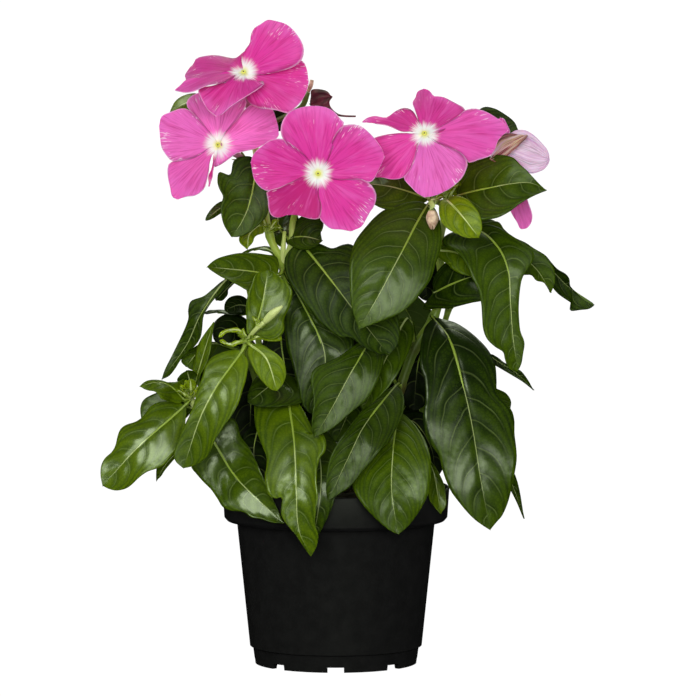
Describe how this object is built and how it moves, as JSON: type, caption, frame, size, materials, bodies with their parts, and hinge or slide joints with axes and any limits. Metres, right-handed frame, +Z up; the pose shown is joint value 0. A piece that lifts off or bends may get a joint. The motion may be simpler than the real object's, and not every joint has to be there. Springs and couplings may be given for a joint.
{
  "type": "potted madagascar periwinkle",
  "caption": "Bushy flowering periwinkle with broad drooping leaves and flat five-petalled pink blooms, rooted in a round tapered nursery pot with a deep rim band.",
  "frame": {"origin": "on the pot's axis, at the surface the pot stands on", "axes": "+Z up along the pot's axis, -Y towards the front, where the blooms face"},
  "size_m": [0.2272, 0.1435, 0.2987],
  "materials": {
    "black_plastic": "satin",
    "potting_mix": "matte",
    "leaf_green": "satin",
    "petal_pink": "matte",
    "faded_petal": "matte",
    "withered_petal": "matte",
    "dried_calyx": "matte"
  },
  "bodies": {
    "root": {"pot": "black_plastic", "soil": "potting_mix", "leafy_stem_left": "leaf_green", "leafy_stem_right": "leaf_green", "leafy_shoot_middle_left": "leaf_green", "leafy_shoot_low_left": "leaf_green", "leafy_stem_back_left": "leaf_green", "leafy_stem_back": "leaf_green", "leafy_stem_back_right": "leaf_green", "bloom_top_left": "petal_pink", "bloom_left": "petal_pink", "bloom_middle": "petal_pink", "bloom_right": "petal_pink", "faded_bloom": "faded_petal", "withered_bloom": "withered_petal", "dried_bud": "dried_calyx"}
  },
  "joints": []
}
